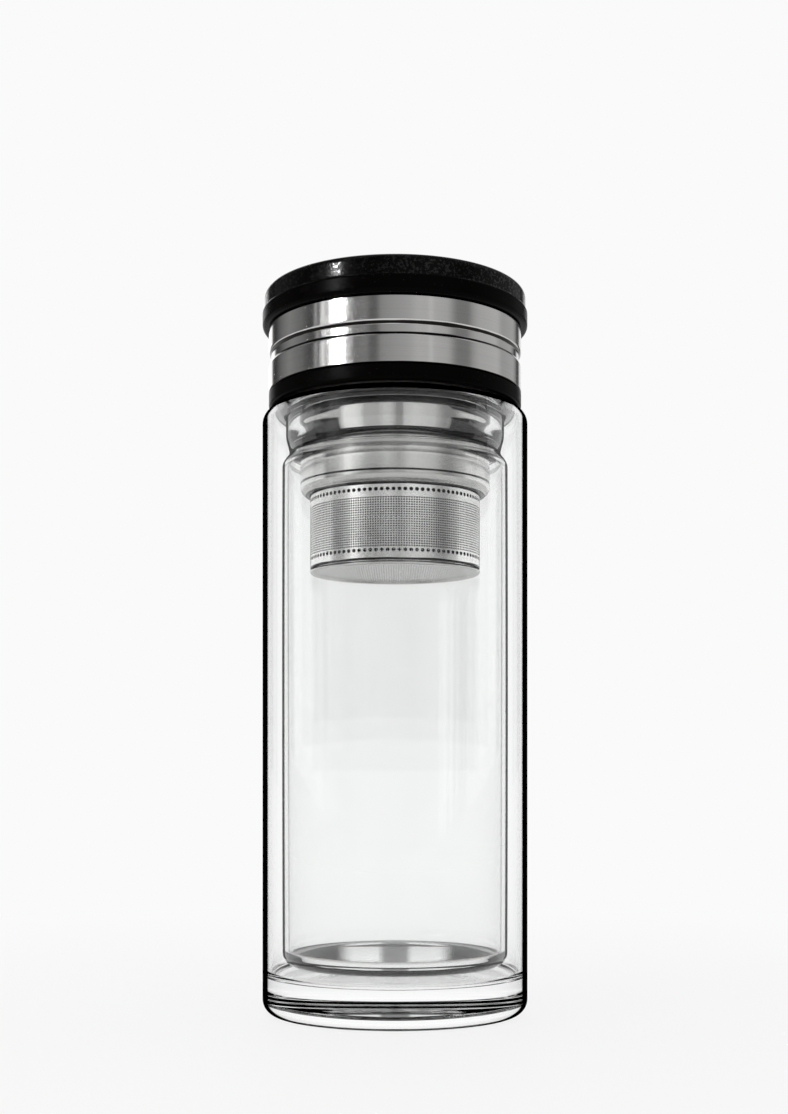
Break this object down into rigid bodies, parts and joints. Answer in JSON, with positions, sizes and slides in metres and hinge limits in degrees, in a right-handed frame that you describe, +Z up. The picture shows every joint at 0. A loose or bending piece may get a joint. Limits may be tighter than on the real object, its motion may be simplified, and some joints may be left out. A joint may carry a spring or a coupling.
{
  "type": "glass tea tumbler",
  "caption": "Straight double-walled glass tea tumbler with a thick clear base, a hanging perforated steel strainer and a black and steel screw lid.",
  "frame": {"origin": "centre of the underside, on the surface that the tumbler stands on", "axes": "+Z up along the tumbler's axis; +X and +Y across it, with no preferred direction"},
  "size_m": [0.068, 0.068, 0.1846],
  "materials": {
    "outer_glass": "clear polished borosilicate glass",
    "inner_glass": "clear polished borosilicate glass",
    "collar_steel": "satin drawn stainless steel",
    "sleeve_steel": "etched stainless sheet, satin",
    "band_steel": "stainless steel brushed round the band",
    "plate_steel": "satin pressed stainless steel",
    "cap_plastic": "glossy black moulding",
    "insert_plastic": "semi-gloss black moulding",
    "silicone": "matt translucent white silicone"
  },
  "bodies": {
    "tumbler": {"outer_glass_shell": "outer_glass", "inner_glass_cup": "inner_glass"},
    "strainer": {"strainer_collar": "collar_steel", "strainer_seal_ring": "silicone", "strainer_sleeve": "sleeve_steel", "strainer_bottom": "collar_steel"},
    "gasket": {"lid_gasket": "silicone"},
    "liner": {"lid_liner_plate": "plate_steel"},
    "lid": {"lid_thread_insert": "insert_plastic", "lid_steel_band": "band_steel", "lid_top_cap": "cap_plastic"}
  },
  "joints": [
    {"name": "strainer_lift", "type": "slide", "parent": "tumbler", "child": "strainer", "axis": [0, 0, 1], "range_m": [0, 0.06]},
    {"name": "lid_lift", "type": "slide", "parent": "strainer", "child": "gasket", "axis": [0, 0, 1], "range_m": [0, 0.03]},
    {"name": "lid_rise", "type": "slide", "parent": "gasket", "child": "liner", "axis": [0, 0, 1], "range_m": [0, 0.0045]},
    {"name": "lid_turn", "type": "hinge", "parent": "liner", "child": "lid", "pos_m": [0, 0, 0.169], "axis": [0, 0, 1], "range_deg": [0, 450]}
  ],
  "couplings": [
    {"joint": "lid_rise", "follows": "lid_turn", "m_per_rad": 0.00057295}
  ]
}
